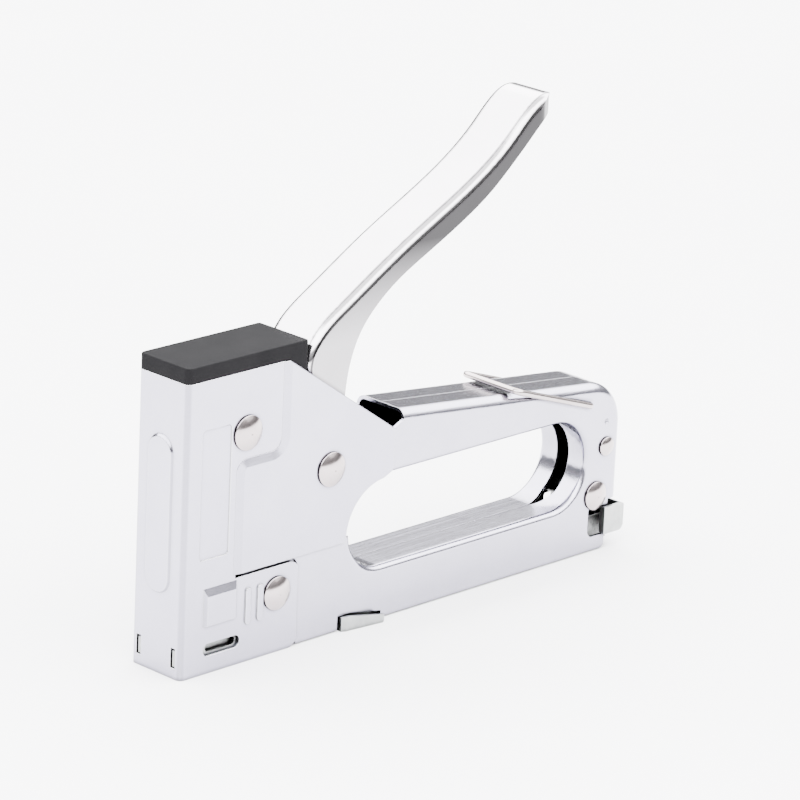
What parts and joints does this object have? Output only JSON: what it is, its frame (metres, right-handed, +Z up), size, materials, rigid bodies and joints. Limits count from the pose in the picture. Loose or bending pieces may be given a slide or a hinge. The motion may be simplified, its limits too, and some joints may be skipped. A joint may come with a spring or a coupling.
{
  "type": "staple gun",
  "caption": "Light-duty staple gun: pressed-steel nose and looped grip frame, lever handle, wire locking bail and pull-out staple magazine.",
  "frame": {"origin": "middle of the length and width, on the plane of the nose sole and the underside of the magazine channel", "axes": "+X from the nose to the rear, +Y to the right-hand side, +Z up towards the handle"},
  "size_m": [0.1666, 0.0234, 0.1353],
  "materials": {
    "housing_steel": "bright plated sheet",
    "frame_steel": "bright plated sheet",
    "handle_steel": "mirror-bright plated sheet",
    "rivet_nickel": "polished nickel",
    "bail_wire": "polished nickel wire",
    "zinc_steel": "satin zinc plate",
    "tool_steel": "ground tool steel",
    "spring_steel": "oiled spring wire",
    "staple_wire": "galvanised wire",
    "cap_plastic": "fine moulded texture",
    "buffer_rubber": "moulded rubber"
  },
  "bodies": {
    "frame": {"nose_housing": "housing_steel", "left_frame_shell": "frame_steel", "right_frame_shell": "frame_steel", "top_cap": "cap_plastic", "upper_nose_rivet": "rivet_nickel", "lower_nose_rivet": "rivet_nickel", "handle_pivot_rivet": "rivet_nickel", "rear_upper_rivet": "rivet_nickel", "rear_lower_rivet": "rivet_nickel", "spacer_sleeves": "zinc_steel", "driver_guide": "zinc_steel", "spring_seat": "zinc_steel", "main_spring": "spring_steel", "striker_bumper": "buffer_rubber", "return_spring": "spring_steel", "magazine_channel": "zinc_steel", "staple_strip": "staple_wire"},
    "handle": {"handle_lever": "handle_steel", "lift_arm": "tool_steel", "pivot_bush": "tool_steel", "lift_roller": "tool_steel"},
    "striker": {"striker_block": "tool_steel", "driver_blade": "tool_steel"},
    "bail": {"lock_bail": "bail_wire"},
    "magazine": {"magazine_rail": "zinc_steel", "magazine_latch": "zinc_steel", "pusher_rod": "tool_steel", "pusher_spring": "spring_steel"},
    "pusher": {"staple_pusher": "zinc_steel"}
  },
  "joints": [
    {"name": "handle_pivot", "type": "hinge", "parent": "frame", "child": "handle", "pos_m": [-0.0318, 0, 0.047], "axis": [0, 1, 0], "range_deg": [0, 44], "stiffness_Nm_per_rad": 1.2, "springref_deg": -20.05},
    {"name": "striker_lift", "type": "slide", "parent": "frame", "child": "striker", "axis": [0, 0, 1], "range_m": [0, 0.0145], "deforming": ["main_spring"]},
    {"name": "bail_swing", "type": "hinge", "parent": "frame", "child": "bail", "pos_m": [0.0679, 0, 0.0439], "axis": [0, 1, 0], "range_deg": [0, 150]},
    {"name": "magazine_slide", "type": "slide", "parent": "frame", "child": "magazine", "axis": [1, 0, 0], "range_m": [0, 0.11]},
    {"name": "pusher_slide", "type": "slide", "parent": "magazine", "child": "pusher", "axis": [1, 0, 0], "range_m": [0, 0.06], "stiffness_N_per_m": 60, "springref_m": -0.1, "deforming": ["pusher_spring"]}
  ],
  "couplings": [
    {"joint": "striker_lift", "follows": "handle_pivot", "m_per_rad": 0.01853}
  ]
}
